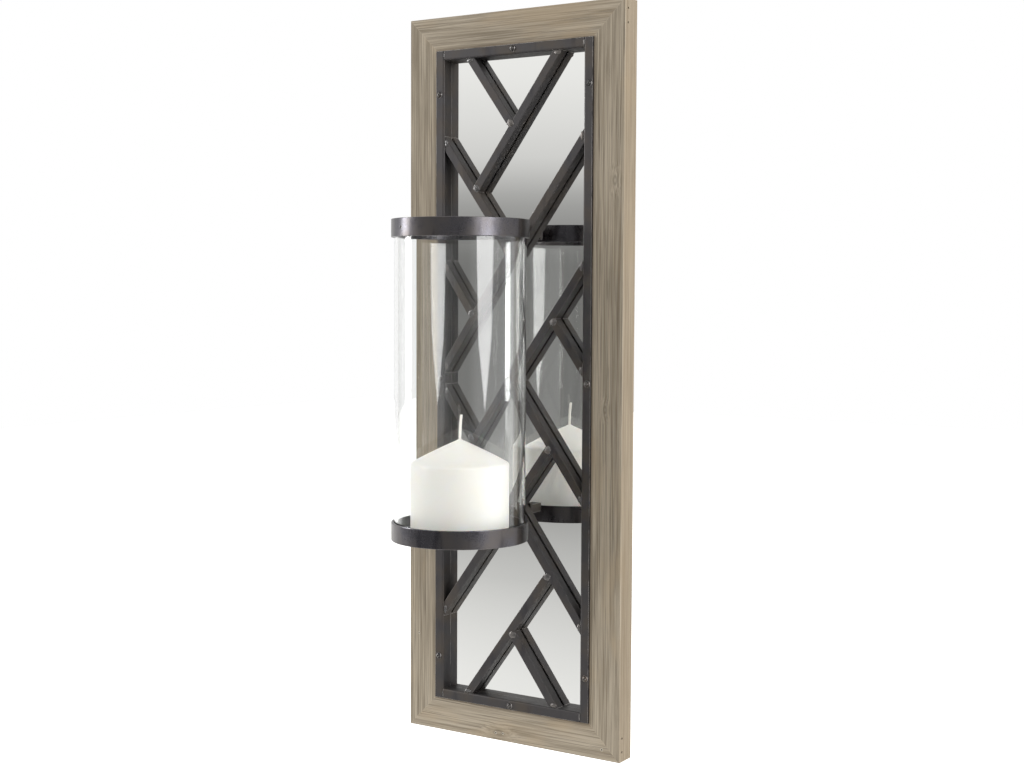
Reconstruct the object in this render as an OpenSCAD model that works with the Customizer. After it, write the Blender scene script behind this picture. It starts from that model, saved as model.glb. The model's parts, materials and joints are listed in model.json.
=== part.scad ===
// Wall sconce candle holder: a mitred wood frame, a mirror behind an iron fretwork, and a glass
// cylinder that stands in a dish and passes up through a ring.
// Origin: the middle of the back, on the wall. +Y goes into the wall, +Z is up. Millimetres.

/* [Wood frame] */
// Height of the wood frame
frame_h = 762; // [635:1:920]
// Width of the wood frame
frame_w = 262; // [216:1:320]
// Thickness of the boards, wall to front face
board_t = 24; // [23:0.5:30]
// Width of each board that shows outside the iron
board_face = 35; // [30:0.5:45]
// Width of the step that the iron frame is screwed down on
iron_seat = 7.5; // [7:0.5:10]
// Width of the step that the mirror lies on
mirror_ledge = 8; // [7:0.5:12]
// Radius on the boards' outer front edge
board_edge_r = 1; // [0.4:0.1:2]

/* [Iron fretwork] */
// Width of the perimeter bars, seen from the front
rim_w = 10; // [9:0.5:14]
// Depth of the perimeter bars, front to mirror
rim_d = 14; // [12:0.5:17]
// How far the perimeter stands out of the wood
rim_proud = 2; // [1:0.5:5]
// Radius on the perimeter's inner front edge
rim_edge_r = 2; // [1:0.5:3]
// Width of the diagonal bars
bar_w = 9; // [6:0.5:11]
// How far the diagonals' front lies behind the perimeter's
bar_recess = 1.5; // [0.5:0.5:3]
// Gap between the diagonals and the mirror
bar_gap = 1.5; // [0.5:0.5:3]
// Height from the outermost crossing on the centre line to the rail
bar_end_room = 73.5; // [60:0.5:100]
// Radius on the diagonals' edges
bar_edge_r = 0.8; // [0.4:0.1:1.5]
// Slope of the diagonals, from level
bar_angle = 54; // [52:0.5:56]

/* [Mirror and back panel] */
// Thickness of the mirror
mirror_t = 3; // [2:0.5:4]
// Thickness of the back panel
panel_t = 3; // [2:0.5:4]

/* [Rings and dish] */
// Outer diameter of both bands
band_d = 136; // [113:1:164]
// Thickness of the bands
band_t = 2.5; // [2:0.5:4]
// Height of the bands
band_h = 18; // [14:0.5:26]
// Radius on the bands' edges
band_edge_r = 0.6; // [0.3:0.1:0.9]
// Distance from the wall to the bands' centre
band_reach = 117; // [112:1:150]
// Height of the upper band's top edge over the frame's middle
ring_top = 163; // [160:1:175]
// Depth of the dish's foot below the frame's middle
dish_foot = 153; // [148:1:165]
// Thickness of the dish plate
dish_t = 3; // [2:0.5:5]
// Width of the arms that carry the bands
arm_w = 12; // [10:0.5:16]
// Height of the arms
arm_h = 9; // [6:0.5:12]
// Thickness of the plates that the arms are welded to
pad_t = 3; // [2:0.5:5]
// How far those plates reach past the arms, and past the middle of the bars they lie on
pad_margin = 2.5; // [1:0.5:6]

/* [Glass] */
// Wall of the glass cylinder
glass_t = 3; // [2:0.5:5]
// Height of the glass cylinder
glass_h = 305; // [250:1:370]
// Gap between the upper band and the glass, all round
glass_gap = 0.5; // [0.4:0.1:2]

/* [Candle] */
// Diameter of the candle
candle_d = 98; // [60:1:118]
// Height of the candle's straight side
candle_side_h = 74; // [40:1:180]
// Height of the cone on top of the candle
candle_cone_h = 23; // [10:1:30]
// Length of wick that stands out of the candle
wick_h = 24; // [10:1:30]
// Diameter of the wick
wick_d = 2.8; // [2:0.1:4]
// Radius that the wick bends to
wick_bend_r = 180; // [40:5:200]

/* [Fasteners] */
// Diameter of the screws that hold the iron to the wood
rim_screw_d = 3.5; // [3:0.5:4]
// Diameter of those screws' heads
rim_screw_head_d = 7; // [6:0.5:8]
// Distance of the rim screws from the outer edge of the iron
rim_screw_inset = 4; // [3.5:0.5:5]
// Distance of the outer rim screws from the ends of the iron
rim_screw_end = 45.5; // [20:0.5:80]
// Diameter of the corner brads
brad_d = 1.6; // [1.2:0.1:2]
// Length of the corner brads
brad_len = 30; // [20:1:32]
// Diameter of the round hole in the keyhole plates
keyhole_d = 9; // [8:0.5:11]
// Width of the slot in the keyhole plates
keyhole_slot = 4.5; // [4:0.5:5]
// Distance of the keyholes from the frame's top edge
keyhole_drop = 81; // [60:1:150]

/* [Clearances] */
// Gap between the wood and the iron frame
iron_gap = 0.5; // [0.3:0.1:1]
// Gap round the mirror and the back panel
panel_gap = 0.5; // [0.3:0.1:1]
// Radial play of a screw in the iron
screw_play = 0.3; // [0.2:0.1:0.5]

/* [Hidden] */
$fn = 96;
cut = 1; // overrun of a cut past the face it goes through

// Depths, as Y places: the wall is 0 and the room is negative
wood_front = -board_t;
rim_front = wood_front - rim_proud;
rim_back = rim_front + rim_d;
mirror_back = rim_back + mirror_t;
bar_front = rim_front + bar_recess;
bar_back = rim_back - bar_gap;

// Half sizes, from the middle of the frame outward
frame_x = frame_w / 2;
frame_z = frame_h / 2;
board_w = board_face + iron_seat + mirror_ledge;
rim_x = frame_x - board_face - iron_gap;
rim_z = frame_z - board_face - iron_gap;
clear_x = rim_x - rim_w;
clear_z = rim_z - rim_w;
pocket_x = frame_x - board_face - iron_seat;
pocket_z = frame_z - board_face - iron_seat;

// Fretwork: the vertical half height of a slanted bar, and its rise per millimetre across
bar_half = bar_w / 2 / cos(bar_angle);
bar_rise = tan(bar_angle);
bar_pitch = (clear_z - bar_end_room) / 2;
bar_out = 2; // how far out a bar's end cuts are drawn, in half widths
bar_ends = [2, 3]; // places of the two ends in a row of BARS
bar_stop = 4; // place of the bar side that a bar stops at
bead_h = 1.2;
bead_top = 0.6; // flat top of a bead, as a share of its foot
// Each bar: its slant, its row counted from the middle one, and its two ends. A row crosses the
// centre line at row * bar_pitch. An end is at a stile (-1 left, 1 right), at a rail (-1 bottom,
// 1 top), or on a bar of that row that slants the other way (1 on its upper side, -1 on its lower).
// A fifth entry is such a bar side that the first end stops at, where the frame is wide enough for
// the two to meet before the stile.
up = 1;
down = -1;
BARS = [
    [down, 2, ["rail", 1], ["bar", 2, 1]],
    [up, 2, ["rail", 1], ["bar", 1, 1]],
    [down, 1, ["stile", -1], ["bar", 1, 1]],
    [up, 1, ["stile", 1], ["stile", -1]],
    [down, 0, ["stile", -1], ["bar", 1, 1]],
    [up, 0, ["stile", 1], ["stile", -1]],
    [down, 1, ["bar", 0, -1], ["stile", 1]],
    [down, 0, ["bar", 0, -1], ["stile", 1]],
    [down, -1, ["stile", -1], ["bar", 0, 1], ["bar", 1, -1]],
    [up, -1, ["bar", 0, -1], ["stile", -1]],
    [down, -1, ["bar", -1, -1], ["stile", 1]],
    [up, -2, ["bar", -1, -1], ["rail", -1]],
    [down, -2, ["bar", -2, -1], ["rail", -1]],
];

// Bands, dish, glass and candle
band_r = band_d / 2;
band_y = -band_reach;
band_inner_r = band_r - band_t;
ring_z = ring_top - band_h;
dish_floor = dish_t - dish_foot;
glass_r = band_inner_r - glass_gap;
candle_top = dish_floor + candle_side_h + candle_cone_h;
candle_edge_r = 2; // at the candle's foot
wick_foot = 4; // wax under the wick's lower end
upper_arm_z = ring_z + band_h / 2;
lower_arm_lap = 6; // how much of the lower arm's height lies on its band
lower_arm_z = band_h - dish_foot + arm_h / 2 - lower_arm_lap;
grub_d = 3;
grub_sunk = 0.6; // from the band's outside to the screw's face
grub_socket = 1.5; // hexagon, corner to corner
grub_angles = [-22, 133]; // from straight ahead, turning to the right seen from above

// Fasteners
brad_y = (wood_front + rim_back) / 2;
brad_rows = [10, 24]; // from the frame's top or bottom edge
brad_head_d = 2.6;
brad_head_t = 1;
brad_sunk = 1.5; // from the side of the board to the brad's head
rim_screw_tip = -3; // Y place of the point
rim_screw_head_t = 2.2;
cross_left = 0.8; // metal left under the cross in a pan head
cross_d = 0.9; // depth of the cross in a flat head
cross_share = 0.55; // width of the cross, as a share of the head's diameter
cross_blade = 0.2; // thickness of its blades, as a share of its width
keyhole_x = frame_x - board_face / 2;
keyhole_z = frame_z - keyhole_drop;
hanger_w = 18;
hanger_h = 46;
hanger_t = 1.5;
hanger_pocket = 9; // room behind the plate for the wall screw's head
hanger_pocket_gap = 1; // round that head
hanger_screw_d = 3;
hanger_screw_len = 14;
hanger_screw_head_d = 6;
hanger_screw_z = 18; // above and below the round hole
panel_screw_d = 2.6;
panel_screw_head_d = 5;
panel_screw_tip = mirror_back + 2;
panel_screw_rows = 5;
panel_screw_end = 20; // from the outermost row to the ledge's end

function bar_end_x(bar, end, side) =
    end[0] == "stile" ? end[1] * clear_x
    : end[0] == "rail"
        ? (end[1] * clear_z - bar[1] * bar_pitch - side * bar_half) / (bar[0] * bar_rise)
        : ((end[1] - bar[1]) * bar_pitch + (end[2] - side) * bar_half) / (2 * bar[0] * bar_rise);
function bar_z(bar, x, side) = bar[1] * bar_pitch + bar[0] * bar_rise * x + side * bar_half;
function bar_corner(bar, end, side) =
    let (x = bar_end_x(bar, end, side)) [x, bar_z(bar, x, side)];
function bar_end_middle(bar, end) = (bar_corner(bar, end, 1) + bar_corner(bar, end, -1)) / 2;
// Where a bar really ends on its middle line: at its own end, or at its stop if that comes first
function bar_tip(bar, i) =
    let (own = bar_end_middle(bar, bar[i]),
         stop = i == bar_ends[0] && len(bar) > bar_stop ? bar_end_middle(bar, bar[bar_stop]) : own)
    abs(stop[0]) < abs(own[0]) ? stop : own;

BAR_NAMES = [for (i = [1:len(BARS)]) str("lattice_bar_", i)];

// ---- Helpers ----

// A flat outline drawn as X and Z, carried from y0 to y1
module slab(y0, y1) {
    translate([0, y1, 0]) rotate([90, 0, 0]) linear_extrude(y1 - y0) children();
}

// A round bar along Y, from y0 to y1
module pin_y(x, z, y0, y1, d) {
    translate([x, y1, z]) rotate([90, 0, 0]) cylinder(h = y1 - y0, d = d);
}

// A cone along Y, of diameter d0 at y0 and d1 at y1
module cone_y(x, z, y0, y1, d0, d1) {
    translate([x, y0, z]) rotate([-90, 0, 0]) cylinder(h = y1 - y0, d1 = d0, d2 = d1);
}

// The cross of a screw driver's tip, sunk from y0 to y1 in a head of diameter head_d
module cross_slot(x, z, y0, y1, head_d) {
    width = head_d * cross_share;
    for (turn = [0, 90])
        translate([x, (y0 + y1) / 2, z]) rotate([0, turn, 0])
            cube([width, y1 - y0, width * cross_blade], center = true);
}

// A flat rectangle with round corners, from its low corner
module rounded_box(low, size, r) {
    translate(low) {
        translate([r, 0]) square([size[0] - 2 * r, size[1]]);
        translate([0, r]) square([size[0], size[1] - 2 * r]);
        for (x = [r, size[0] - r], y = [r, size[1] - r]) translate([x, y]) circle(r);
    }
}

// ---- Wood frame ----

// Section of a board: across from its outer edge, and back from its front
module board_section() {
    step_x = board_face + iron_seat;
    difference() {
        translate([0, -board_t]) square([board_w, board_t]);
        translate([board_face, -board_t - cut]) square([board_w, board_t + rim_back + cut]);
        translate([step_x, -board_t - cut]) square([board_w, board_t + mirror_back + cut]);
        translate([step_x, -panel_t]) square([board_w, panel_t + cut]);
        difference() {
            translate([-cut, -board_t - cut]) square(board_edge_r + cut);
            translate([board_edge_r, board_edge_r - board_t]) circle(board_edge_r);
        }
    }
}

// A board along Z with its outer edge to the left, mitred at both ends
module left_board(width, height) {
    x = width / 2;
    z = height / 2;
    intersection() {
        translate([-x, 0, -z]) linear_extrude(height) board_section();
        slab(-board_t - cut, cut)
            polygon([[-x, -z], [-x, z], [board_w - x + cut, z - board_w - cut],
                     [board_w - x + cut, board_w + cut - z]]);
    }
}

// Room for the hanging plate, its two screws and the head of the wall screw behind it
module hanging_recess() {
    pocket_w = keyhole_d + 2 * hanger_pocket_gap;
    translate([keyhole_x - hanger_w / 2, -hanger_t, keyhole_z - hanger_h / 2])
        cube([hanger_w, hanger_t + cut, hanger_h]);
    slab(-hanger_pocket, 0) keyhole_outline(pocket_w, pocket_w);
    for (side = [-1, 1])
        pin_y(keyhole_x, keyhole_z + side * hanger_screw_z, -hanger_screw_len, 0, hanger_screw_d);
}

module rim_screw_shanks() {
    for (p = rim_screw_places()) pin_y(p[0], p[1], rim_front, rim_screw_tip, rim_screw_d);
}

module frame_stile() {
    difference() {
        left_board(frame_w, frame_h);
        brads_and_heads(true);
        rim_screw_shanks();
        panel_screw_shanks();
        mirror([1, 0, 0]) hanging_recess();
    }
}

module frame_rail() {
    difference() {
        rotate([0, 90, 0]) left_board(frame_h, frame_w);
        brads_and_heads(true);
        rim_screw_shanks();
        panel_screw_shanks();
    }
}

module frame_stile_left() {
    color("#9b8f78") frame_stile();
}

module frame_stile_right() {
    color("#a0957f") mirror([1, 0, 0]) frame_stile();
}

module frame_rail_top() {
    color("#978c76") frame_rail();
}

module frame_rail_bottom() {
    color("#978c76") mirror([0, 0, 1]) frame_rail();
}

// Brads driven in from both sides near every corner. The holes reach out through the side.
module brads_and_heads(as_holes) {
    for (side = [-1, 1], end = [-1, 1], row = brad_rows)
        translate([side * frame_x, brad_y, end * (frame_z - row)]) rotate([0, -90 * side, 0]) {
            translate([0, 0, brad_sunk]) cylinder(h = brad_len, d = brad_d);
            translate([0, 0, as_holes ? -cut : brad_sunk])
                cylinder(h = brad_head_t + (as_holes ? brad_sunk + cut : 0), d = brad_head_d);
        }
}

module corner_brads() {
    color("#6d6861") brads_and_heads(false);
}

// ---- Mirror and back panel ----

module sheet(y0, y1) {
    slab(y0, y1) square([pocket_x - panel_gap, pocket_z - panel_gap] * 2, center = true);
}

module mirror_glass() {
    color("#cfd6d8") sheet(rim_back, mirror_back);
}

// Middle of the ledge behind the back panel, where its screws go
function panel_screw_places() =
    let (x = pocket_x - mirror_ledge / 2, z = pocket_z - mirror_ledge / 2,
         rise = z - panel_screw_end, gaps = panel_screw_rows - 1)
    concat(
        [for (side = [-1, 1], i = [0:gaps]) [side * x, rise * (2 * i / gaps - 1)]],
        [for (end = [-1, 1]) [0, end * z]]
    );

module panel_screw_shanks() {
    for (p = panel_screw_places()) pin_y(p[0], p[1], panel_screw_tip, 0, panel_screw_d);
}

module panel_screw_heads() {
    for (p = panel_screw_places())
        cone_y(p[0], p[1], -panel_screw_head_d / 2, 0, 0, panel_screw_head_d);
}

module back_panel() {
    color("#7b6a52") difference() {
        sheet(-panel_t, 0);
        panel_screw_shanks();
        panel_screw_heads();
    }
}

module panel_screws() {
    color("#8d8f92") difference() {
        union() {
            panel_screw_shanks();
            panel_screw_heads();
        }
        for (p = panel_screw_places()) cross_slot(p[0], p[1], -cross_d, cut, panel_screw_head_d);
    }
}

// ---- Iron perimeter ----

// Section of a perimeter bar: across from its outer edge, and back from its front
module rim_section() {
    translate([0, rim_front]) difference() {
        square([rim_w, rim_d]);
        difference() {
            translate([rim_w - rim_edge_r, -cut]) square(rim_edge_r + cut);
            translate([rim_w - rim_edge_r, rim_edge_r]) circle(rim_edge_r);
        }
    }
}

function rim_screw_places() =
    let (x = rim_x - rim_screw_inset, z = rim_z - rim_screw_inset)
    concat(
        [for (side = [-1, 1], row = [-1, 0, 1]) [side * x, row * (rim_z - rim_screw_end)]],
        [for (end = [-1, 1]) [0, end * z]]
    );

module iron_holes() {
    for (p = rim_screw_places())
        pin_y(p[0], p[1], rim_front - cut, rim_back + cut, rim_screw_d + 2 * screw_play);
}

module iron_stile() {
    difference() {
        translate([-rim_x, 0, -rim_z]) linear_extrude(2 * rim_z) rim_section();
        iron_holes();
    }
}

module iron_rail() {
    difference() {
        rotate([0, 90, 0]) translate([-rim_z, 0, -clear_x]) linear_extrude(2 * clear_x) rim_section();
        iron_holes();
    }
}

module iron_stile_left() {
    color("#44413f") iron_stile();
}

module iron_stile_right() {
    color("#44413f") mirror([1, 0, 0]) iron_stile();
}

module iron_rail_top() {
    color("#44413f") iron_rail();
}

module iron_rail_bottom() {
    color("#44413f") mirror([0, 0, 1]) iron_rail();
}

// Pan-head screws: a head that is a slice of a ball, with a cross in it
module iron_screws() {
    head_r = rim_screw_head_d / 2;
    ball_r = (head_r * head_r + rim_screw_head_t * rim_screw_head_t) / (2 * rim_screw_head_t);
    head_top = rim_front - rim_screw_head_t;
    color("#35322f") for (p = rim_screw_places()) difference() {
        union() {
            pin_y(p[0], p[1], rim_front, rim_screw_tip, rim_screw_d);
            intersection() {
                translate([p[0], head_top + ball_r, p[1]]) sphere(ball_r);
                pin_y(p[0], p[1], head_top - cut, rim_front, 2 * rim_screw_head_d);
            }
        }
        cross_slot(p[0], p[1], head_top - cut, rim_front - cross_left, rim_screw_head_d);
    }
}

// ---- Fretwork ----

// Section of a bar: its width across the origin, and its depth back from its front
module bar_section() {
    rounded_box([-bar_w / 2, bar_front], [bar_w, bar_back - bar_front], bar_edge_r);
}

// Everything past the bar side that this bar stops at
module past_stop(bar) {
    stop = bar[bar_stop];
    middle = stop[1] * bar_pitch + stop[2] * bar_half;
    rise = bar[0] * bar_rise * frame_w;
    away = [0, -stop[2] * frame_h];
    left = [-frame_w, middle + rise];
    right = [frame_w, middle - rise];
    slab(bar_front - 2 * cut, bar_back + 2 * cut) polygon([left, right, right + away, left + away]);
}

module lattice_bar(i) {
    bar = BARS[i];
    color("#4a4744") difference() {
        bar_to_its_ends(bar);
        if (len(bar) > bar_stop) past_stop(bar);
    }
}

// A rounded bar that is cut off where it meets the perimeter or another bar
module bar_to_its_ends(bar) {
    intersection() {
        translate([0, 0, bar[1] * bar_pitch]) rotate([0, bar[0] * (90 - bar_angle), 0])
            translate([0, 0, -frame_h]) linear_extrude(2 * frame_h) bar_section();
        slab(bar_front - cut, bar_back + cut)
            polygon(concat(
                [for (end = bar_ends) bar_corner(bar, bar[end], -bar_out)],
                [for (i = [1, 0]) bar_corner(bar, bar[bar_ends[i]], bar_out)]
            ));
    }
}

// A low flat-topped bead on the bars' front, trimmed where it meets the perimeter
module bead(place) {
    intersection() {
        cone_y(place[0], place[1], bar_front - bead_h, bar_front, bar_w * bead_top, bar_w);
        slab(bar_front - bead_h - cut, bar_front + cut)
            square([clear_x, clear_z] * 2, center = true);
    }
}

module weld_beads() {
    color("#5a5550") difference() {
        for (bar = BARS, end = bar_ends) bead(bar_tip(bar, end));
        upper_pad();
        lower_pad();
    }
}

// ---- Bands, dish and what carries them ----

module band() {
    rotate_extrude() rounded_box([band_inner_r, 0], [band_t, band_h], band_edge_r);
}

// Puts a piece that points up at the origin on a band's side, pointing out, r from its axis
module on_ring_side(angle, r) {
    translate([0, band_y, ring_z + band_h / 2]) rotate([90, 0, angle]) translate([0, 0, r]) children();
}

module upper_ring() {
    color("#3b3937") difference() {
        translate([0, band_y, ring_z]) band();
        for (angle = grub_angles)
            on_ring_side(angle, band_inner_r - cut) cylinder(h = band_t + 2 * cut, d = grub_d);
    }
}

module ring_grub_screws() {
    len = band_t - grub_sunk;
    color("#1f1e1d") for (angle = grub_angles) on_ring_side(angle, band_inner_r) difference() {
        cylinder(h = len, d = grub_d);
        translate([0, 0, len / 2]) cylinder(h = len, d = grub_socket, $fn = 6);
    }
}

module dish_band() {
    color("#3b3937") translate([0, band_y, -dish_foot]) band();
}

module dish_plate() {
    color("#3b3937") translate([0, band_y, -dish_foot]) cylinder(h = dish_t, r = band_inner_r);
}

// The flat plate on the fretwork's front that an arm is welded to. It is wide enough to lie on
// the diagonals that meet on the centre line, and tall enough to reach the place where they meet.
module pad(arm_z) {
    half_w = max(arm_w / 2, abs(abs(arm_z) - bar_pitch) / bar_rise) + pad_margin;
    half_h = arm_h / 2 + pad_margin;
    outer = max(abs(arm_z), bar_pitch) + half_h;
    inner = abs(arm_z) - half_h;
    color("#44413f") slab(bar_front - pad_t, bar_front)
        translate([0, sign(arm_z) * (inner + outer) / 2]) square([2 * half_w, outer - inner], center = true);
}

// A flat arm from its pad to the back of a band
module arm(z) {
    color("#44413f") difference() {
        slab(band_y, bar_front - pad_t) translate([0, z]) square([arm_w, arm_h], center = true);
        translate([0, band_y, z - arm_h]) cylinder(h = 2 * arm_h, r = band_r);
    }
}

module upper_pad() {
    pad(upper_arm_z);
}

module upper_arm() {
    arm(upper_arm_z);
}

module lower_pad() {
    pad(lower_arm_z);
}

module lower_arm() {
    arm(lower_arm_z);
}

// ---- Hanging plates ----

// A round hole at the bottom and a round-ended slot that runs up from it
module keyhole_outline(round_d, slot_d) {
    rise = keyhole_d;
    translate([keyhole_x, keyhole_z]) {
        circle(d = round_d);
        translate([-slot_d / 2, 0]) square([slot_d, rise]);
        translate([0, rise]) circle(d = slot_d);
    }
}

module keyhole_plate() {
    difference() {
        translate([keyhole_x - hanger_w / 2, -hanger_t, keyhole_z - hanger_h / 2])
            cube([hanger_w, hanger_t, hanger_h]);
        slab(-hanger_t - cut, cut) keyhole_outline(keyhole_d, keyhole_slot);
        for (side = [-1, 1]) {
            z = keyhole_z + side * hanger_screw_z;
            pin_y(keyhole_x, z, -hanger_t - cut, cut, hanger_screw_d);
            cone_y(keyhole_x, z, -hanger_screw_head_d / 2, 0, 0, hanger_screw_head_d);
        }
    }
}

module keyhole_plate_left() {
    color("#9a9ca0") mirror([1, 0, 0]) keyhole_plate();
}

module keyhole_plate_right() {
    color("#9a9ca0") keyhole_plate();
}

module keyhole_screws() {
    color("#a9abae") for (x = [-keyhole_x, keyhole_x], side = [-1, 1]) {
        z = keyhole_z + side * hanger_screw_z;
        difference() {
            union() {
                pin_y(x, z, -hanger_screw_len, 0, hanger_screw_d);
                cone_y(x, z, -hanger_screw_head_d / 2, 0, 0, hanger_screw_head_d);
            }
            cross_slot(x, z, -cross_d, cut, hanger_screw_head_d);
        }
    }
}

// ---- Glass and candle ----

module glass_cylinder() {
    rim_r = glass_t / 2;
    color("#dfe9ea", 0.35) translate([0, band_y, dish_floor]) rotate_extrude() {
        translate([glass_r - glass_t, 0]) square([glass_t, glass_h - rim_r]);
        translate([glass_r - rim_r, glass_h - rim_r]) circle(rim_r);
    }
}

module candle() {
    r = candle_d / 2;
    color("#f3efe6") translate([0, band_y, dish_floor]) difference() {
        rotate_extrude() difference() {
            union() {
                square([r, candle_side_h]);
                polygon([[0, candle_side_h], [r, candle_side_h], [0, candle_side_h + candle_cone_h]]);
            }
            difference() {
                translate([r - candle_edge_r, -cut]) square(candle_edge_r + cut);
                translate([r - candle_edge_r, candle_edge_r]) circle(candle_edge_r);
            }
        }
        translate([0, 0, wick_foot]) cylinder(h = candle_side_h + candle_cone_h, d = wick_d);
    }
}

// The wick runs down through the wax, and what stands out of it bends a little to the right
module wick() {
    foot = dish_floor + wick_foot;
    color("#f7f4ec") translate([0, band_y, 0]) {
        translate([0, 0, foot]) cylinder(h = candle_top - foot, d = wick_d);
        mirror([1, 0, 0]) translate([-wick_bend_r, 0, candle_top]) rotate([90, 0, 0])
            rotate_extrude(angle = wick_h / wick_bend_r * 180 / PI)
                translate([wick_bend_r, 0]) circle(d = wick_d);
    }
}

frame_stile_left();
frame_stile_right();
frame_rail_top();
frame_rail_bottom();
corner_brads();
mirror_glass();  // mirror
back_panel();
panel_screws();
iron_stile_left();
iron_stile_right();
iron_rail_top();
iron_rail_bottom();
for (i = [0:len(BARS) - 1])
    lattice_bar(i);
weld_beads();
iron_screws();
upper_pad();
upper_arm();
upper_ring();
ring_grub_screws();
lower_pad();
lower_arm();
dish_band();
dish_plate();
keyhole_plate_left();
keyhole_plate_right();
keyhole_screws();
glass_cylinder();
candle();
wick();
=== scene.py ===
import json
import math

import bpy
import numpy as np
from mathutils import Matrix, Vector


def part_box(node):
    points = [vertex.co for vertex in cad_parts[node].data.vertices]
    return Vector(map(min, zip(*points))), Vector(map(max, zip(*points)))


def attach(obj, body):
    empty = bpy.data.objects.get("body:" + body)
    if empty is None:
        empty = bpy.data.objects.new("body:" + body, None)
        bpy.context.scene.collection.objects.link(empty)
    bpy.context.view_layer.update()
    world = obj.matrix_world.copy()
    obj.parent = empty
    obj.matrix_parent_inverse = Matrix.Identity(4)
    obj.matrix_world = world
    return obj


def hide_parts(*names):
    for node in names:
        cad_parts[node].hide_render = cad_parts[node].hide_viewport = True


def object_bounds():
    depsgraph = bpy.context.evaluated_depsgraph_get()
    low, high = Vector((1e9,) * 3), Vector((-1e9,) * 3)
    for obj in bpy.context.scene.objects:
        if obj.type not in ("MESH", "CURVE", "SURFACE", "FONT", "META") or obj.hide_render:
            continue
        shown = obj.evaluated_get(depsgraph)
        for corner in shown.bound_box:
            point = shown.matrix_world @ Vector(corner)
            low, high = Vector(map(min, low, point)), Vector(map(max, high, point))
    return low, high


# Looks of a wall sconce candle holder, in metres. The wall is Y = 0, the room is at -Y, Z is up.
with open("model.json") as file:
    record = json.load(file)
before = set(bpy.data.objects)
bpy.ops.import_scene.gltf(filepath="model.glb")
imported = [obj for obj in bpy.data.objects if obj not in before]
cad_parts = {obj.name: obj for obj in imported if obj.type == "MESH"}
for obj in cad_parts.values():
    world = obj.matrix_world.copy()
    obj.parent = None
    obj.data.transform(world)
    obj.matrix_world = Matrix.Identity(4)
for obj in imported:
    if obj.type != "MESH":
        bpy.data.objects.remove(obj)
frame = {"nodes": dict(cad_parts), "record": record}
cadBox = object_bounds()
mm = 0.001
print("frame loaded:", len(frame["nodes"]), "nodes")


def plug(tree, socket, value):
    # links a Wire, or sets a number or colour on the socket itself
    if isinstance(value, Wire):
        tree.links.new(value.socket, socket)
    elif isinstance(value, tuple) and len(socket.default_value) == len(value) + 1:
        socket.default_value = (*value, 1)
    else:
        socket.default_value = value


class Wire:
    # a socket that Python arithmetic works on: each operation adds a Math node
    def __init__(self, tree, socket):
        self.tree, self.socket = tree, socket

    def maths(self, operation, *values):
        node = self.tree.nodes.new("ShaderNodeMath")
        node.operation = operation
        for socket, value in zip(node.inputs, values):
            plug(self.tree, socket, value)
        return Wire(self.tree, node.outputs[0])

    def __add__(self, other):
        return self.maths("ADD", self, other)

    def __sub__(self, other):
        return self.maths("SUBTRACT", self, other)

    def __rsub__(self, other):
        return self.maths("SUBTRACT", other, self)

    def __mul__(self, other):
        return self.maths("MULTIPLY", self, other)

    def __abs__(self):
        return self.maths("ABSOLUTE", self)

    def __lt__(self, other):
        return self.maths("LESS_THAN", self, other)

    __radd__ = __add__
    __rmul__ = __mul__


def setStops(ramp, stops):
    while len(ramp.elements) < len(stops):
        ramp.elements.new(0.5)
    for element, (place, colour) in zip(ramp.elements, stops):
        element.position = place
        element.color = (*colour, 1)


class Nodes:
    # builds a node tree by calls that each give back a Wire
    def __init__(self, tree):
        self.tree = tree

    def node(self, kind, settings=None, sockets=None, out=0):
        made = self.tree.nodes.new("ShaderNode" + kind)
        for key, value in (settings or {}).items():
            if key == "stops":
                setStops(made.color_ramp, value)
            else:
                setattr(made, key, value)
        for key, value in (sockets or {}).items():
            plug(self.tree, made.inputs[key], value)
        return Wire(self.tree, made.outputs[out])

    def split(self, place, *names):
        return [self.node("SeparateXYZ", None, {0: place}, name) for name in names]

    def fade(self, value, low, high, start=0.0, end=1.0):
        # smooth step from start to end as value goes from low to high
        return self.node("MapRange", {"interpolation_type": "SMOOTHSTEP", "clamp": True},
                         {"Value": value, "From Min": low, "From Max": high, "To Min": start, "To Max": end})

    def ramp(self, value, *stops):
        return self.node("ValToRGB", {"stops": stops}, {"Fac": value})

    def mix(self, share, first, second):
        return self.node("Mix", {"data_type": "RGBA"}, {0: share, 6: first, 7: second}, 2)


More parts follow.
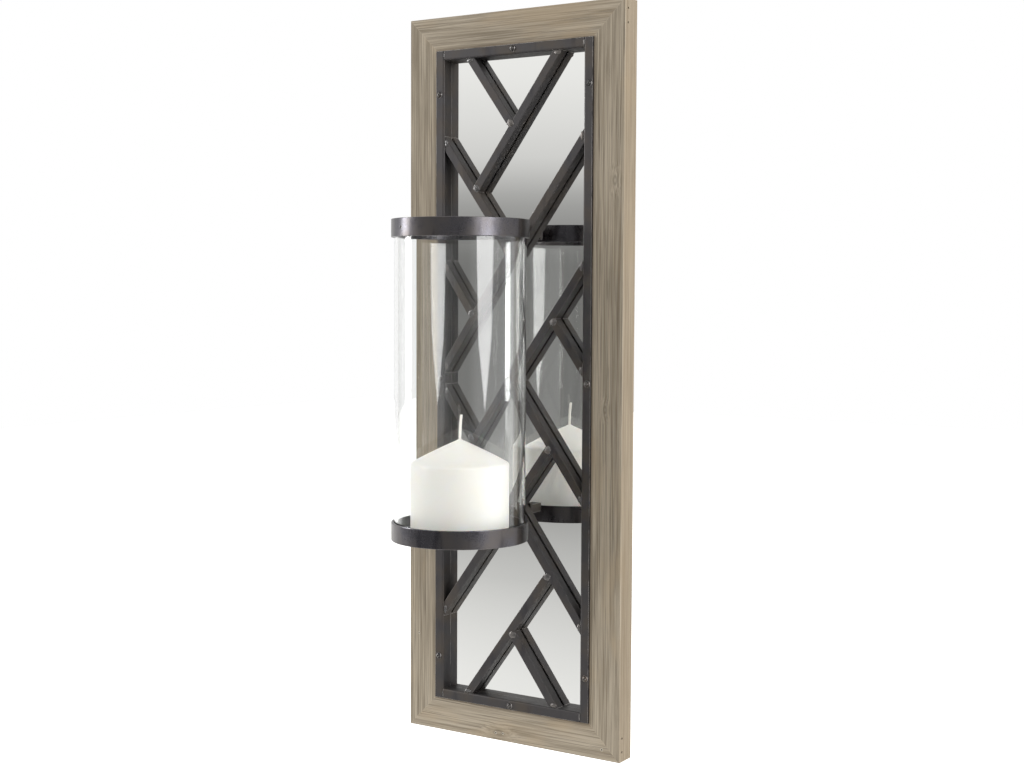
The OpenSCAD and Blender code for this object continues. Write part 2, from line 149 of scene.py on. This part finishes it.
class Finish(Nodes):
    # a material's nodes, laid out on Object coordinates
    def __init__(self, name):
        self.material = bpy.data.materials.new(name)
        self.material.use_nodes = True
        super().__init__(self.material.node_tree)
        self.tree.nodes.clear()
        self.place = self.node("TexCoord", out="Object")

    def moved(self, scale=(1, 1, 1), turn=(0, 0, 0), shift=(0, 0, 0), place=None):
        return self.node("Mapping", None, {"Vector": place or self.place, "Location": shift,
                                           "Rotation": turn, "Scale": scale})

    def axis(self, name):
        return self.split(self.place, name)[0]

    def noise(self, scale, detail=3.0, rough=0.5, place=None):
        return self.node("TexNoise", None, {"Vector": place or self.place, "Scale": scale,
                                            "Detail": detail, "Roughness": rough}, "Fac")

    def near(self, point, stretch=(1, 1, 1)):
        # distance from a point, with each axis stretched
        local = self.moved(scale=stretch, shift=tuple(-p * s for p, s in zip(point, stretch)))
        return self.node("VectorMath", {"operation": "LENGTH"}, {0: local}, 1)

    def worn(self, radius):
        # 1 on an edge that sticks out or in, 0 on flat ground
        rounded = self.node("Bevel", {"samples": 4}, {"Radius": radius})
        flat = self.node("NewGeometry", out="Normal")
        alike = self.node("VectorMath", {"operation": "DOT_PRODUCT"}, {0: rounded, 1: flat}, 1)
        return self.fade(alike, 0.995, 0.9)

    def bump(self, height, depth, strength=1.0):
        return self.node("Bump", None, {"Height": height, "Distance": depth, "Strength": strength}, "Normal")

    def surface(self, **sockets):
        shader = self.node("BsdfPrincipled", None, {key.replace("_", " "): value
                                                    for key, value in sockets.items()}, "BSDF")
        output = self.tree.nodes.new("ShaderNodeOutputMaterial")
        self.tree.links.new(shader.socket, output.inputs["Surface"])
        return self.material


wood = {
    "pale": (0.325, 0.280, 0.215), "middle": (0.245, 0.207, 0.155), "dark": (0.165, 0.136, 0.098),
    "stainAndShade": (0.105, 0.072, 0.045),  # a brown stain with painted contact shade, where the boards meet the iron
    "tan": (0.30, 0.232, 0.150),     # less weathered patches
    # side: the colour of the cut sides, darkened as painted shade
    "side": (0.20, 0.152, 0.098), "pore": (0.075, 0.06, 0.045), "rubbed": (0.42, 0.36, 0.27),
    "filler": (0.62, 0.57, 0.48), "nailHoleShade": (0.02, 0.015, 0.012),
    "fine": 700, "broad": 190,       # streaks per metre across the grain
    "fineShare": 0.72, "broadShare": 0.28,
    "stops": (0.39, 0.5, 0.6),       # where the dark, middle and pale tones of the streaks lie
    "stretch": 0.014,                # width of a streak over its length
    "sway": 0.006,                   # how far the grain wanders
    "knotStretch": 0.45,             # a knot's width over its length
    "relief": 0.2 * mm, "stainAndShadeWidth": 3.0 * mm, "softEdge": 1.2 * mm,
    "roughness": (0.86, 0.66),       # of the dark streaks and the pale ones
}
# knots and old nail holes on the front: board, x, z, radius
knots = [("frame_stile_right", 0.121, 0.203, 2.4 * mm), ("frame_stile_right", 0.1116, -0.025, 2.0 * mm),
         ("frame_rail_bottom", -0.014, -0.373, 3.2 * mm)]
nailHoles = [("frame_rail_bottom", 0.111, -0.3703, 0.9 * mm),
             ("frame_stile_left", -0.119, -0.279, 0.8 * mm),
             ("frame_rail_bottom", -0.018, -0.3735, 0.9 * mm),
             ("frame_rail_bottom", -0.009, -0.3728, 0.8 * mm)]


def weatheredWood(name, board, lying, shift):
    # grain runs along Z on a stile and along X on a rail
    f = Finish(name)
    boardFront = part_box(board)[0][1]
    along = f.moved(turn=(0, math.radians(90), 0) if lying else (0, 0, 0), shift=shift)
    wander = f.noise(1.0, 2, place=f.moved((5, 5, 1.6), place=along)) - 0.5
    ring = 0
    swirl = 0
    for owner, x, z, r in knots:
        if owner == board:
            narrow = wood["knotStretch"]
            off = f.near((x, boardFront, z), (narrow, 1, 1) if lying else (1, 1, narrow))
            swirl = swirl + f.fade(off, 0.5 * r, 4 * r, 0.8 * r, 0)
            ring = ring + f.fade(abs(off - 0.7 * r), 0.05 * r, 0.55 * r, 0.4, 0)
    sway = wander * wood["sway"] + swirl
    bent = f.node("VectorMath", {"operation": "ADD"},
                  {0: f.moved((1, 1, wood["stretch"]), place=along),
                   1: f.node("CombineXYZ", None, {"X": sway, "Y": sway})})
    fine = f.noise(wood["fine"], 5, 0.6, bent)
    broad = f.noise(wood["broad"], 4, 0.55, bent)
    blotch = f.noise(1.0, 3, 0.55, f.moved((26, 26, 9), place=along))
    tone = fine * wood["fineShare"] + broad * wood["broadShare"]
    colour = f.ramp(tone, *zip(wood["stops"], (wood["dark"], wood["middle"], wood["pale"])))
    colour = f.mix(f.fade(blotch, 0.5, 0.72, 0, 0.5), colour, wood["tan"])
    colour = f.mix(f.fade(blotch, 0.46, 0.26, 0, 0.35), colour, wood["dark"])
    pores = f.fade(f.noise(wood["fine"] * 1.4, 2, 0.5, bent), 0.33, 0.41, 1, 0)
    colour = f.mix(pores * 0.45, colour, wood["pore"])
    # stained line with painted contact shade where the board meets the iron: distance from the edge of the
    # opening
    reach = f.axis("Z" if lying else "X")
    edge = ironEdge["z"] if lying else ironEdge["x"]
    stainAndShade = f.fade(abs(reach), edge + 0.5 * mm, edge + wood["stainAndShadeWidth"], 0.55, 0)
    onFront = f.fade(f.axis("Y"), boardFront + 0.5 * mm, boardFront + 2 * mm, 1, 0)
    colour = f.mix(stainAndShade * onFront, colour, wood["stainAndShade"])
    # the cut sides are warmer than the weathered front, and darkened as painted shade
    cut = f.fade(f.axis("Y"), boardFront + 0.6 * mm, boardFront + 1.6 * mm, 0, 0.5)
    colour = f.mix(cut, colour, wood["side"])
    hollow = pores * 0.5
    if isinstance(ring, Wire):
        colour = f.mix(ring, colour, wood["pore"])
        hollow = hollow + ring
    for owner, x, z, r in nailHoles:
        if owner == board:
            off = f.near((x, boardFront, z))
            colour = f.mix(f.fade(off, 1.3 * r, 2.0 * r, 0.5, 0), colour, wood["filler"])
            # the hole is painted near-black as the shade inside it
            hole = f.fade(off, 0.7 * r, 1.1 * r, 1, 0)
            colour = f.mix(hole, colour, wood["nailHoleShade"])
            hollow = hollow + hole * 4
    rub = f.worn(wood["softEdge"]) * f.fade(f.noise(160, 3), 0.35, 0.6)
    colour = f.mix(rub * 0.3, colour, wood["rubbed"])
    return f.surface(Base_Color=colour, Roughness=f.fade(fine, 0.3, 0.7, *wood["roughness"]),
                     Normal=f.bump(fine * 0.7 + broad * 0.5 - hollow, wood["relief"], 0.75),
                     Specular_IOR_Level=0.25)


iron = {
    "bar": (0.050, 0.047, 0.048), "bronze": (0.064, 0.054, 0.046), "soot": (0.014, 0.014, 0.020),
    "rubbed": (0.50, 0.48, 0.46),        # bare metal on the arrises, brightened as a painted highlight
    "roughness": 0.46, "spread": 0.14,   # of the smoothest places, and what the roughest add
    "grit": 900,                         # grains per metre
    "arris": 0.6 * mm, "relief": 0.06 * mm,
}


def darkIron(name, base, bronze, rough, seed, wearAndGleam=0.8, metal=0.75):
    # bars left black from the mill, waxed, with the arrises rubbed bright and given a painted highlight
    f = Finish(name)
    spot = f.moved(shift=(seed, seed * 0.7, -seed))
    cloud = f.noise(32, 4, 0.55, spot)
    drift = f.noise(1.0, 3, 0.5, f.moved((90, 90, 22), place=spot))
    grit = f.noise(iron["grit"], 3, 0.6, spot)
    colour = f.mix(f.fade(cloud, 0.40, 0.70), base, bronze)
    colour = f.mix(f.fade(drift, 0.50, 0.78, 0, 0.5), colour, iron["soot"])
    if wearAndGleam:
        # rubbed bare metal and a painted highlight along the arrises
        rub = f.worn(iron["arris"]) * f.fade(f.noise(55, 4, 0.6, spot), 0.34, 0.52)
        colour = f.mix(rub * wearAndGleam, colour, iron["rubbed"])
    height = grit * 0.25 + f.noise(60, 3, 0.5, spot)
    return f.surface(Base_Color=colour, Metallic=metal,
                     Roughness=f.fade(cloud * 0.6 + grit * 0.4, 0.35, 0.65, rough, rough + iron["spread"]),
                     Normal=f.bump(height, iron["relief"], 0.6))


def plainSteel(name, colour, rough):
    f = Finish(name)
    scratch = f.noise(500, 4, 0.6, f.moved((1, 1, 0.1)))
    return f.surface(Base_Color=f.mix(f.fade(scratch, 0.4, 0.7, 0, 0.5), colour, (0.1, 0.1, 0.1)),
                     Metallic=0.95, Roughness=f.fade(scratch, 0.3, 0.7, rough, rough + 0.2),
                     Normal=f.bump(scratch, 0.1 * mm, 0.4))


def silveredGlass(name):
    # silver under clear glass, with a green cut edge
    f = Finish(name)
    cut = f.worn(0.8 * mm)
    return f.surface(Base_Color=f.mix(cut, (0.90, 0.90, 0.885), (0.2, 0.36, 0.3)), Metallic=1.0,
                     Roughness=f.fade(f.noise(40, 2), 0.3, 0.7, 0.004, 0.012))


def clearGlass(name):
    # polished, with a few finger smears
    f = Finish(name)
    smear = f.fade(f.noise(18, 4, 0.6, f.moved((1, 1, 0.4))), 0.62, 0.85, 0, 0.012)
    return f.surface(Base_Color=(0.99, 0.995, 0.99), Roughness=smear, Transmission_Weight=1.0, IOR=1.48)


wax = {
    "deep": (0.92, 0.89, 0.835), "pale": (0.96, 0.94, 0.89),
    "paintedGlow": 0.17,               # painted light: the candle and wick glow, making up for light that the glass keeps off them
    "lit": (1.0, 0.985, 0.95), "litWick": (1.0, 0.98, 0.94),
}


def whiteWax(name):
    f = Finish(name)
    mottle = f.noise(35, 4, 0.6)
    colour = f.mix(f.fade(mottle, 0.35, 0.7), wax["deep"], wax["pale"])
    # the emission is a painted glow
    return f.surface(Base_Color=colour, Roughness=f.fade(mottle, 0.3, 0.7, 0.40, 0.52),
                     Subsurface_Weight=0.3, Subsurface_Radius=(0.012, 0.009, 0.006), Subsurface_Scale=1.0,
                     Emission_Color=wax["lit"], Emission_Strength=wax["paintedGlow"],
                     Normal=f.bump(f.noise(45, 3), 0.25 * mm, 0.25))


def cottonWick(name):
    f = Finish(name)
    fibre = f.noise(1500, 4, 0.6, f.moved((1, 1, 0.3)))
    # the wick carries the same painted glow as the wax
    return f.surface(Base_Color=f.mix(fibre, (0.80, 0.77, 0.69), (0.94, 0.92, 0.88)), Roughness=0.85,
                     Emission_Color=wax["litWick"], Emission_Strength=wax["paintedGlow"],
                     Normal=f.bump(fibre, 0.1 * mm, 0.5))


def brownBoard(name):
    # smooth hardboard, with short fibres
    f = Finish(name)
    fleck = f.noise(700, 4, 0.7)
    cloud = f.noise(14, 3, 0.5)
    colour = f.ramp(fleck, (0.3, (0.12, 0.07, 0.04)), (0.7, (0.24, 0.155, 0.09)))
    return f.surface(Base_Color=f.mix(f.fade(cloud, 0.4, 0.7, 0, 0.3), colour, (0.09, 0.055, 0.033)),
                     Roughness=f.fade(fleck, 0.3, 0.7, 0.72, 0.5), Normal=f.bump(fleck, 0.08 * mm, 0.4))


ironEdge = {"x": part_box("iron_stile_right")[1][0], "z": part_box("iron_rail_top")[1][2]}
weldLook = darkIron("weldIron", (0.115, 0.112, 0.112), (0.14, 0.125, 0.115), rough=0.22, seed=5,
                    wearAndGleam=0.7, metal=0.85)
looks = {
    "dark_iron": darkIron("darkIron", iron["bar"], iron["bronze"], iron["roughness"], seed=0),
    "ring_iron": darkIron("ringIron", (0.080, 0.077, 0.086), (0.088, 0.080, 0.078), rough=0.22, seed=3,
                          wearAndGleam=0.5, metal=1.0),
    "weld_iron": weldLook,
    "black_screws": darkIron("blackScrews", (0.035, 0.033, 0.033), (0.06, 0.045, 0.035), rough=0.3,
                             seed=7, wearAndGleam=0.7),
    "brad_steel": plainSteel("bradSteel", (0.2, 0.18, 0.16), 0.5),
    "zinc_steel": plainSteel("zincSteel", (0.55, 0.55, 0.56), 0.32),
    "mirror": silveredGlass("silveredGlass"), "hardboard": brownBoard("hardboard"),
    "clear_glass": clearGlass("clearGlass"), "white_wax": whiteWax("whiteWax"),
    "cotton_wick": cottonWick("cottonWick"),
}
woodLooks = {
    "frame_stile_left": weatheredWood("woodStileLeft", "frame_stile_left", False, (0.3, 0.1, 0)),
    "frame_stile_right": weatheredWood("woodStileRight", "frame_stile_right", False, (1.7, 0.4, 2)),
    "frame_rail_top": weatheredWood("woodRailTop", "frame_rail_top", True, (0.9, 0.2, 4)),
    "frame_rail_bottom": weatheredWood("woodRailBottom", "frame_rail_bottom", True, (2.3, 0.7, 6)),
}
for part in frame["record"]["subparts"]:
    node = frame["nodes"][part["node"]]
    node.data.materials.clear()
    node.data.materials.append(woodLooks.get(part["node"]) or looks[part["material_slot"]])
print("materials made:", len(bpy.data.materials))


def tubePiece(name, tubes, look, body, looped=False):
    # each tube is a grid of places[ring, step round the ring]. Its first and last rings are filled,
    # or joined to each other where the profile is a loop
    places, faces, start = [], [], 0
    for points in tubes:
        rows, columns = points.shape[:2]
        i, j = np.meshgrid(np.arange(rows if looped else rows - 1), np.arange(columns), indexing="ij")
        k = (j + 1) % columns
        above = (i + 1) % rows * columns
        quads = np.stack([i * columns + j, i * columns + k, above + k, above + j], -1)
        faces += (quads.reshape(-1, 4) + start).tolist()
        if not looped:
            ring = np.arange(columns)
            faces += [(start + ring[::-1]).tolist(), (start + (rows - 1) * columns + ring).tolist()]
        places.append(points.reshape(-1, 3))
        start += rows * columns
    mesh = bpy.data.meshes.new(name)
    mesh.from_pydata(np.concatenate(places).tolist(), [], faces)
    mesh.polygons.foreach_set("use_smooth", np.ones(len(mesh.polygons), bool))
    mesh.materials.append(look)
    mesh.update()
    piece = bpy.data.objects.new(name, mesh)
    bpy.context.scene.collection.objects.link(piece)
    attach(piece, body)
    return piece


def arc(centre, radius, start, stop, count):
    # points on a circle, from angle start to angle stop in degrees
    a = np.radians(np.linspace(start, stop, count))
    return np.stack([centre[0] + radius * np.cos(a), centre[1] + radius * np.sin(a)], -1)


def ringAngles(steps):
    return np.linspace(0, 2 * np.pi, steps, endpoint=False)[None, :]


glassShape = {"wall": 3.0 * mm, "footCorner": 0.5 * mm, "steps": 256, "cornerSteps": 5, "rimSteps": 13}


def glassCylinder():
    # a loop of radius and height, turned round the glass's axis: up the outer wall, over a half
    # round rim, down the inner wall and across the ground foot
    low, high = (np.array(corner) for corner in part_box("glass_cylinder"))
    wall, corner = glassShape["wall"], glassShape["footCorner"]
    radius, tall = (high[0] - low[0]) / 2, high[2] - low[2]
    middle = (low + high) / 2
    footOut = arc((radius - corner, corner), corner, -90, 0, glassShape["cornerSteps"])
    footIn = arc((radius - wall + corner, corner), corner, 180, 270, glassShape["cornerSteps"])
    rim = arc((radius - wall / 2, tall - wall / 2), wall / 2, 0, 180, glassShape["rimSteps"])
    # rows close to the rounded ends keep the walls between them shaded straight
    rows = np.array([2 * corner, 4 * corner, tall / 2, tall - wall, tall - wall / 2 - 0.2 * corner])
    outer = np.stack([np.full(len(rows), radius), rows], -1)
    inner = np.stack([np.full(len(rows), radius - wall), rows[::-1]], -1)
    profile = np.concatenate([footOut, outer, rim, inner, footIn])
    a = ringAngles(glassShape["steps"])
    r, z = profile[:, :1], profile[:, 1:]
    points = np.stack([middle[0] + r * np.cos(a), middle[1] + r * np.sin(a), low[2] + z + 0 * a], -1)
    piece = tubePiece("glassCylinder", [points], looks["clear_glass"], "glass", looped=True)
    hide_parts("glass_cylinder")


candleShape = {
    "cone": 23 * mm,            # height of the cone, as in the CAD candle
    "shoulder": 3.5 * mm, "foot": 2.0 * mm,
    "sag": 0.5 * mm,            # how far the cone bows out
    "climb": 2.2 * mm,          # wax that creeps up the wick
    "climbShare": 0.45,         # of the climb, the last part beside the wick
    "wickGap": 0.4 * mm,
    "waver": 0.12 * mm,
    "steps": 144, "sideRows": 10, "coneRows": 23,
}


def candleWax():
    # a profile of radius and height, turned round the candle's axis. The radius wavers by a
    # product of two slow waves round and up the side
    low, high = (np.array(corner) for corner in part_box("candle"))
    radius = (high[0] - low[0]) / 2
    middle = (low + high) / 2
    tall = high[2] - low[2]
    shape = candleShape
    cone = math.atan2(shape["cone"], radius)
    side = tall - shape["cone"]
    tip = wickRadius() + shape["wickGap"]
    foot = arc((radius - shape["foot"], shape["foot"]), shape["foot"], -90, 0, 7)
    # the shoulder's centre lies where the arc touches both the side and the cone
    drop = shape["shoulder"] * math.tan((math.pi / 2 - cone) / 2)
    shoulder = arc((radius - shape["shoulder"], side - drop), shape["shoulder"],
                   0, 90 - math.degrees(cone), 9)
    start = shoulder[-1]
    climb = shape["climb"] * shape["climbShare"]
    end = np.array([tip + shape["climb"], tall - climb])
    t = np.linspace(0, 1, shape["coneRows"] + 1)[1:, None]
    slope = start + (end - start) * t + np.array([0, 1]) * shape["sag"] * 4 * t * (1 - t)
    # the wax turns up the wick, and its last ring lies just inside the wick
    creep = np.array([[tip + climb, tall - 0.2 * mm], [tip + 0.2 * mm, tall + 0.3 * mm],
                      [tip - 0.5 * mm, tall + 0.25 * mm]])
    rows = shape["sideRows"]
    heights = np.linspace(shape["foot"], shoulder[0][1], rows + 2)[1:-1]
    straight = np.stack([np.full(rows, radius), heights], -1)
    profile = np.concatenate([foot, straight, shoulder, slope, creep])
    profile[:, 1] = np.minimum(profile[:, 1], tall)
    a = ringAngles(shape["steps"])
    r, z = profile[:, :1], profile[:, 1:]
    r = r - shape["waver"] * (1 + np.sin(3 * a + 40 * z) * np.sin(60 * z + 2 * a)) * (r > 0.5 * radius)
    points = np.stack([middle[0] + r * np.cos(a), middle[1] + r * np.sin(a), low[2] + z + 0 * a], -1)
    piece = tubePiece("candleWax", [points], looks["white_wax"], "candle")
    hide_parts("candle")


wickShape = {
    "inWax": 12 * mm, "pitch": 5.5 * mm, "pinch": 0.16, "strands": 3,
    "rows": 90, "steps": 30,
}


def wickRadius():
    low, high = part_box("wick")
    return (high[1] - low[1]) / 2


def braidedWick():
    # a circle carried along the wick's line: straight in the wax, then a parabola to the right.
    # The radius swells and pinches with strands that wind round it
    low, high = (np.array(corner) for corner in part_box("wick"))
    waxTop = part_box("candle")[1][2]
    radius = wickRadius()
    base = np.array([low[0] + radius, (low[1] + high[1]) / 2])
    rise = high[2] - waxTop
    lean = high[0] - radius - base[0]
    s = np.linspace(0, 1, wickShape["rows"])
    bottom = waxTop - wickShape["inWax"]
    z = bottom + (high[2] - bottom) * s
    out = np.clip((z - waxTop) / rise, 0, 1)
    x = base[0] + lean * out ** 2
    tilt = np.arctan(2 * lean * out / rise)
    a = ringAngles(wickShape["steps"])
    wind = 2 * np.pi * (z[:, None] / wickShape["pitch"])
    strand = 0.5 + 0.5 * np.cos(wickShape["strands"] * a + wind)
    r = radius * (1 - wickShape["pinch"] * strand * (0.6 + 0.4 * np.cos(2 * wind)))
    across = r * np.cos(a)
    points = np.stack([x[:, None] + across * np.cos(tilt)[:, None], base[1] + r * np.sin(a),
                       z[:, None] - across * np.sin(tilt)[:, None]], -1)
    points[..., 2] = np.minimum(points[..., 2], high[2])
    piece = tubePiece("braidedWick", [points], looks["cotton_wick"], "candle")
    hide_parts("wick")


welds = {
    "height": 1.1 * mm, "sunk": 0.4 * mm,     # above and below the bars' face
    "lump": 0.13, "ripple": 0.14, "ripples": 5,
    "seamWide": 1.5 * mm, "seamHigh": 0.3 * mm,
    "seamInset": 1.5 * mm,                    # from each end of a seam to the bar's edge
    "steps": 32, "rings": 12, "seed": 4,
}


def islands(node):
    # boxes of the separate solids in a node: every corner takes the lowest number among the
    # corners it shares a face with, until nothing changes
    mesh = frame["nodes"][node].data
    places = np.empty(3 * len(mesh.vertices))
    mesh.vertices.foreach_get("co", places)
    mesh.calc_loop_triangles()
    corners = np.empty(3 * len(mesh.loop_triangles), int)
    mesh.loop_triangles.foreach_get("vertices", corners)
    places = places.reshape(-1, 3)
    same = np.unique(np.round(places, 6), axis=0, return_inverse=True)[1].reshape(-1)
    triangles = same[corners.reshape(-1, 3)]
    label = np.arange(same.max() + 1)
    changed = True
    while changed:
        lowest = label[triangles].min(1)
        after = label.copy()
        np.minimum.at(after, triangles, lowest[:, None])
        changed = bool((after != label).any())
        label = after
    owner = label[same]
    return [(places[owner == k].min(0), places[owner == k].max(0)) for k in np.unique(owner)]


def bead(low, high, face, height, chance):
    # a low dome over an ellipse: height falls off as the root of 1 - radius squared, with a
    # wavering outline and ripples that cross it, as a weld pool leaves
    middle, half = (low + high) / 2, (high - low) / 2
    a = ringAngles(welds["steps"])
    rho = np.concatenate([[1.0], np.sin(np.linspace(90, 4, welds["rings"]) * np.pi / 180)])[:, None]
    phase = chance.uniform(0, 2 * np.pi, 3)
    waver = 0.6 * np.sin(2 * a + phase[0]) + 0.4 * np.sin(5 * a + phase[1])
    outline = 1 + welds["lump"] * waver - welds["lump"]
    x = half[0] * rho * outline * np.cos(a)
    z = half[2] * rho * outline * np.sin(a)
    dome = np.sqrt(np.clip(1 - rho ** 2, 0, 1)) + 0 * a
    along = (x * np.cos(phase[2]) + z * np.sin(phase[2])) / max(half[0], half[2])
    dome = dome * (1 - welds["ripple"] * (0.5 + 0.5 * np.cos(welds["ripples"] * np.pi * along)))
    y = face - height * dome
    y[0] = face + welds["sunk"]
    return np.stack([middle[0] + x, y, middle[2] + z], -1)


def weldBeads():
    # one bead at each bar's end, and a thin ground seam at each butt joint of the perimeter
    chance = np.random.default_rng(welds["seed"])
    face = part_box("lattice_bar_1")[0][1]
    tubes = [bead(low, high, face, welds["height"], chance) for low, high in islands("weld_beads")]
    railLow, railHigh = (np.array(corner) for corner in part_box("iron_rail_top"))
    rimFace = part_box("iron_stile_left")[0][1]
    middle = np.array([railHigh[0], rimFace, (railLow[2] + railHigh[2]) / 2])
    half = np.array([welds["seamWide"] / 2, 0, (railHigh[2] - railLow[2]) / 2 - welds["seamInset"]])
    for side in (-1, 1):
        for end in (-1, 1):
            centre = middle * (side, 1, end)
            tubes.append(bead(centre - half, centre + half, rimFace, welds["seamHigh"], chance))
    piece = tubePiece("weldBeads", tubes, looks["weld_iron"], "sconce")
    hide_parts("weld_beads")


glassCylinder()
candleWax()
braidedWick()
weldBeads()
print("glass, candle, wick and welds shaped")


studio = {
    "lens": 54.68, "sensor": 36.0,
    "eye": (0.88143, -1.37319, 0.09202), "turn": 33.1426, "tilt": -3.3775, "roll": 0.2597,
    "floorDepth": 0.17,             # below the frame's bottom edge
    "floorX": (-5, 5), "floorY": (-3, 6),
    "floorGlow": 0.5,
    "warmth": 0.985,                # blue over red
    "turnIn": (0.35, 0.7),          # how far round to the room side the dim band fades in
}
# greys of the room side by the sine of the height above the horizon, and of the floor by its Y
roomTones = [(-0.30, 0.95), (-0.22, 0.80), (-0.16, 0.52), (-0.08, 0.20), (0.02, 0.19), (0.059, 0.40),
             (0.084, 0.68), (0.109, 0.79), (0.137, 0.89), (0.2, 1.0)]
floorTones = [(-3.0, 0.20), (-1.55, 0.28), (-1.15, 0.345), (-0.8, 0.41), (-0.32, 0.48), (-0.2, 0.92)]
# soft boxes: the angle from the room side towards +X, distance, low and high edge, width, brightness,
# and the shape of the foot: heights, as shares, of a sharp tip and a long taper, and the width between
softBoxes = {
    "rightBox": {"angle": 76, "far": 2.6, "low": -0.215, "high": 1.8, "wide": 1.5, "watts": 60,
                 "tip": {"sharp": 0.125, "long": 0.25, "knee": 0.6}},
    "leftStrip": {"angle": -65, "far": 2.6, "low": -0.2, "high": 1.8, "wide": 0.6, "watts": 56, "tip": None},
}


def camera():
    data = bpy.data.cameras.new("camera")
    data.lens = studio["lens"]
    data.sensor_width = studio["sensor"]
    data.clip_end = 50
    eye = bpy.data.objects.new("camera", data)
    turns = (("Z", studio["turn"]), ("X", 90 + studio["tilt"]), ("Z", studio["roll"]))
    pose = Matrix.Identity(3)
    for axis, degrees in turns:
        pose = pose @ Matrix.Rotation(math.radians(degrees), 3, axis)
    eye.location = studio["eye"]
    eye.rotation_euler = pose.to_euler()
    bpy.context.scene.collection.objects.link(eye)
    bpy.context.scene.camera = eye


def softBox(name, angle, far, low, high, wide, watts, tip):
    data = bpy.data.lights.new(name, "AREA")
    data.shape = "RECTANGLE"
    data.size = wide
    data.size_y = high - low
    data.energy = watts
    data.use_nodes = True
    if tip:
        # the lit width grows fast from a point at the foot, and then slowly to the full width
        light = Nodes(data.node_tree)
        across, up = light.split(light.node("NewGeometry", out="Parametric"), "X", "Y")
        point = up * (1 / tip["sharp"])
        taper = up * ((1 - tip["knee"]) / tip["long"]) + tip["knee"]
        width = up.maths("MINIMUM", point, taper)
        plug(light.tree, light.tree.nodes["Emission"].inputs["Strength"], abs(across - 0.5) * 2 < width)
    box = bpy.data.objects.new(name, data)
    turn = math.radians(angle)
    place = Vector((far * math.sin(turn), -far * math.cos(turn), (low + high) / 2))
    box.location = place
    box.rotation_euler = Vector((-place.x, -place.y, 0)).to_track_quat("-Z", "Y").to_euler()
    box.visible_camera = False
    bpy.context.scene.collection.objects.link(box)


def paleRoom():
    # white all round, and a dim band at eye height on the room side, which only the mirror, the
    # glass and the iron show
    world = bpy.data.worlds.new("paleRoom")
    world.use_nodes = True
    sky = Nodes(world.node_tree)
    depth, up = sky.split(sky.node("TexCoord", out="Generated"), "Y", "Z")
    band = sky.ramp(up * 0.5 + 0.5, *((0.5 + 0.5 * height, (grey, grey, grey * studio["warmth"]))
                                      for height, grey in roomTones))
    roomSide = sky.fade(depth * -1, *studio["turnIn"])
    roomSide = roomSide * (1 - sky.node("LightPath", out="Is Camera Ray"))
    plug(sky.tree, sky.tree.nodes["Background"].inputs["Color"], sky.mix(roomSide, (1.0, 1.0, 1.0), band))
    bpy.context.scene.world = world


def paleFloor():
    depth = cadBox[0][2] - studio["floorDepth"]
    front, back = floorTones[0][0], floorTones[-1][0]
    f = Finish("paleFloor")
    share = f.node("MapRange", None, {"Value": f.axis("Y"), "From Min": front, "From Max": back})
    tone = f.ramp(share, *(((y - front) / (back - front), (grey, grey, grey * studio["warmth"]))
                           for y, grey in floorTones))
    look = f.surface(Base_Color=tone, Roughness=0.9, Emission_Color=tone,
                     Emission_Strength=studio["floorGlow"], Specular_IOR_Level=0.1)
    mesh = bpy.data.meshes.new("paleFloor")
    (left, right), (near, far) = studio["floorX"], studio["floorY"]
    mesh.from_pydata([(left, near, depth), (right, near, depth), (right, far, depth), (left, far, depth)],
                     [], [(0, 1, 2, 3)])
    mesh.materials.append(look)
    floor = bpy.data.objects.new("paleFloor", mesh)
    bpy.context.scene.collection.objects.link(floor)


camera()
paleRoom()
paleFloor()
for name, values in softBoxes.items():
    softBox(name, **values)
bpy.context.scene.view_settings.view_transform = "Standard"
print("studio set")
